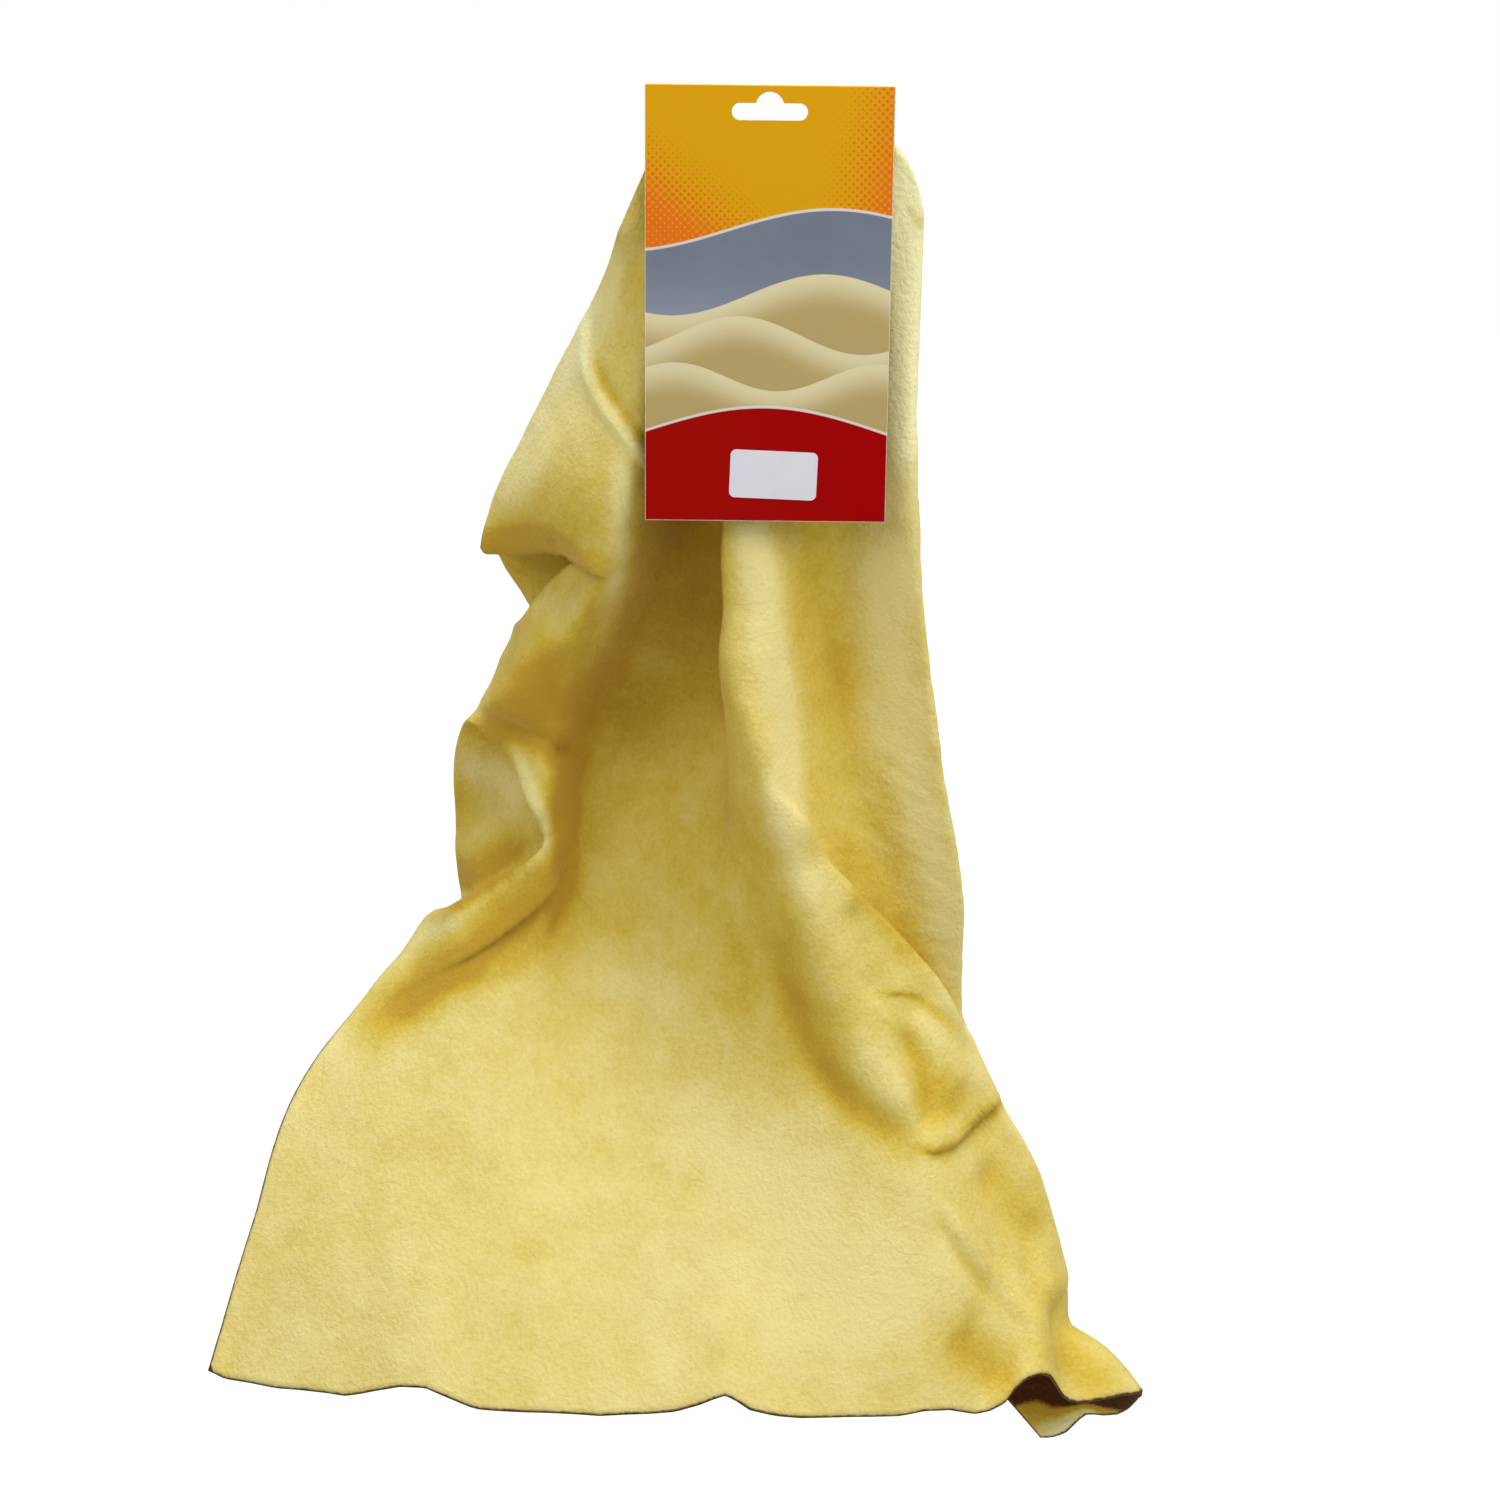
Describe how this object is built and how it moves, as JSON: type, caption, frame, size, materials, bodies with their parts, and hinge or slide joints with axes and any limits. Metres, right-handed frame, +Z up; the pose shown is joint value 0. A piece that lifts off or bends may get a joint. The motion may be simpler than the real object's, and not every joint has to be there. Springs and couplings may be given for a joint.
{
  "type": "chamois leather",
  "caption": "Soft yellow chamois leather hide hung in folds from a slotted header card whose front panel lifts at its fold, used for drying and polishing.",
  "frame": {"origin": "top of the hang slot's hump, on the card's printed face", "axes": "+X to the right across the card's face, +Y away from the face towards the back, +Z up"},
  "size_m": [0.4337, 0.1789, 0.63],
  "materials": {
    "hide_leather": "matt suede nap",
    "printed_board": "gloss varnished print",
    "plain_board": "uncoated",
    "label_paper": "satin",
    "staple_wire": "bright drawn wire"
  },
  "bodies": {
    "hanging_hide": {"chamois_hide": "hide_leather", "card_back_flap": "plain_board", "staple_left": "staple_wire", "staple_right": "staple_wire"},
    "lifting_panel": {"card_front_panel": "printed_board", "size_label": "label_paper"}
  },
  "joints": [
    {"name": "panel_lift", "type": "hinge", "parent": "hanging_hide", "child": "lifting_panel", "pos_m": [0, 0.00025, 0.0018], "axis": [-1, 0, 0], "range_deg": [0, 90]}
  ]
}
